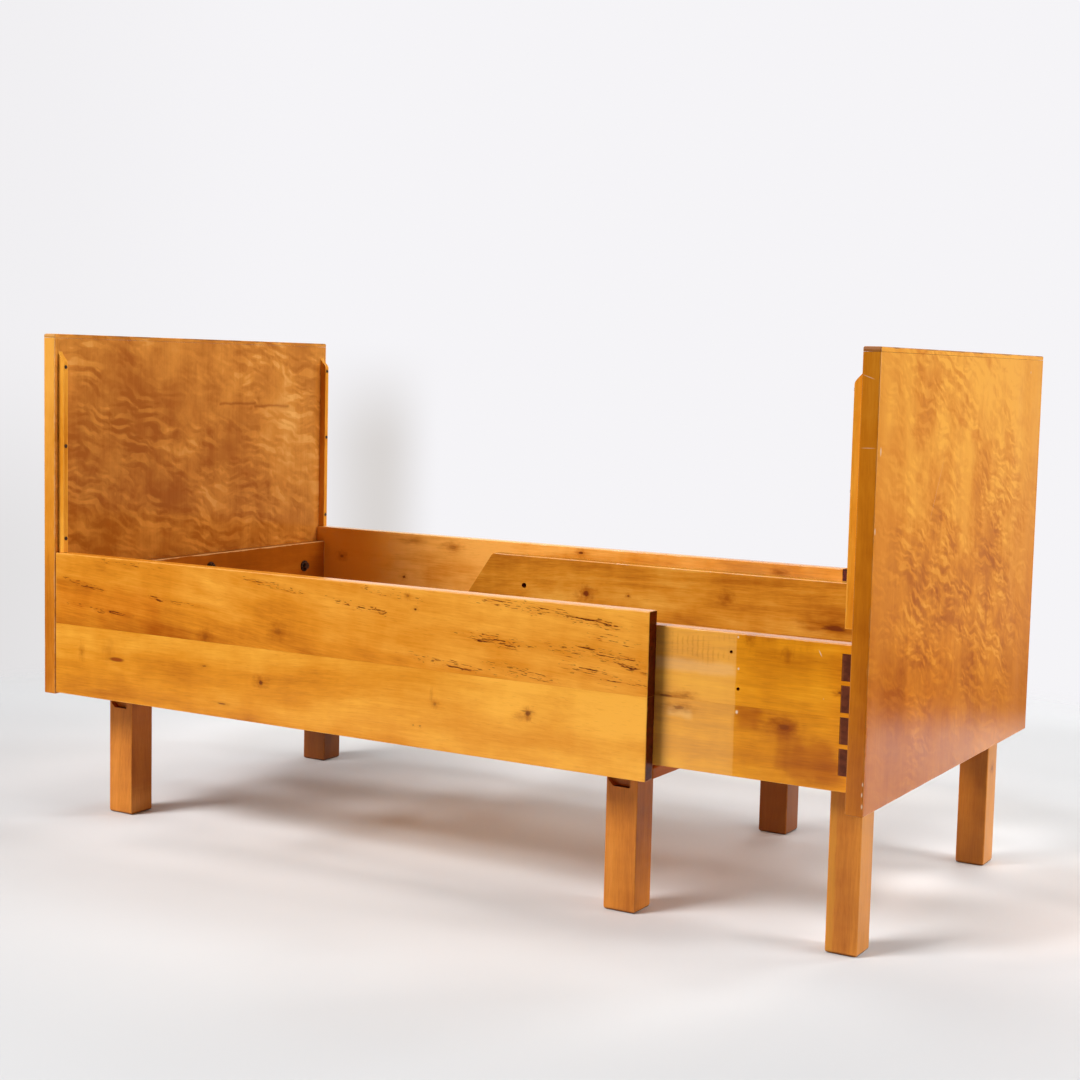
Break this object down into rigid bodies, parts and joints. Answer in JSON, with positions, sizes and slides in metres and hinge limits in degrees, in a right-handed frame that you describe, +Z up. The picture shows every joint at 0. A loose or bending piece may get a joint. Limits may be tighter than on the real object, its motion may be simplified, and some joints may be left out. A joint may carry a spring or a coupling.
{
  "type": "child_bed",
  "caption": "Extending child's bed of amber-varnished birch with flame-veneered end panels; the foot frame with its legs draws out of the head frame",
  "frame": {"origin": "on the floor, under the middle of the bed as it is pictured", "axes": "+X from the head panel to the foot panel, along the slide; +Y from the front side to the rear side; +Z up"},
  "size_m": [1.363, 0.685, 0.758],
  "materials": {
    "amber_birch": "solid birch under glossy amber varnish, worn at the arrises",
    "flame_veneer": "curly flame birch veneer under glossy amber varnish",
    "leg_birch": "solid birch under amber varnish, a little duller than the rails",
    "plain_birch": "bare planed birch",
    "dark_steel": "dark oxidised steel screws"
  },
  "bodies": {
    "head_frame": {"head_panel": "flame_veneer", "head_panel_front_lipping": "amber_birch", "head_panel_rear_lipping": "amber_birch", "head_panel_top_lipping": "amber_birch", "outer_front_rail_upper_board": "amber_birch", "outer_front_rail_lower_board": "amber_birch", "outer_rear_rail_upper_board": "amber_birch", "outer_rear_rail_lower_board": "amber_birch", "head_cross_rail": "amber_birch", "head_coach_screw_front": "dark_steel", "head_coach_screw_middle": "dark_steel", "head_coach_screw_rear": "dark_steel", "head_bearer": "amber_birch", "head_slat_riser": "plain_birch", "end_bearer": "amber_birch", "end_slat_riser": "plain_birch", "head_front_leg": "leg_birch", "head_rear_leg": "leg_birch", "middle_front_leg": "leg_birch", "middle_rear_leg": "leg_birch", "head_front_lath": "amber_birch", "head_rear_lath": "amber_birch", "head_front_lath_screw_1": "dark_steel", "head_front_lath_screw_2": "dark_steel", "head_front_lath_screw_3": "dark_steel", "head_rear_lath_screw_1": "dark_steel", "head_rear_lath_screw_2": "dark_steel", "head_rear_lath_screw_3": "dark_steel", "outer_slat_1": "plain_birch", "outer_slat_2": "plain_birch", "outer_slat_3": "plain_birch", "outer_slat_4": "plain_birch"},
    "foot_frame": {"foot_panel": "flame_veneer", "foot_panel_front_lipping": "amber_birch", "foot_panel_rear_lipping": "amber_birch", "foot_panel_top_lipping": "amber_birch", "inner_front_rail_upper_board": "amber_birch", "inner_front_rail_lower_board": "amber_birch", "inner_rear_rail_upper_board": "amber_birch", "inner_rear_rail_lower_board": "amber_birch", "foot_cross_rail": "amber_birch", "foot_coach_screw_front": "dark_steel", "foot_coach_screw_middle": "dark_steel", "foot_coach_screw_rear": "dark_steel", "foot_bearer": "plain_birch", "free_end_batten": "plain_birch", "foot_front_leg": "leg_birch", "foot_rear_leg": "leg_birch", "foot_front_lath": "amber_birch", "foot_rear_lath": "amber_birch", "foot_front_lath_screw_1": "dark_steel", "foot_front_lath_screw_2": "dark_steel", "foot_front_lath_screw_3": "dark_steel", "foot_rear_lath_screw_1": "dark_steel", "foot_rear_lath_screw_2": "dark_steel", "foot_rear_lath_screw_3": "dark_steel", "inner_slat_1": "plain_birch", "inner_slat_2": "plain_birch", "inner_slat_3": "plain_birch"}
  },
  "joints": [
    {"name": "foot_frame_slide", "type": "slide", "parent": "head_frame", "child": "foot_frame", "axis": [1, 0, 0], "range_m": [-0.228, 0.489]}
  ]
}
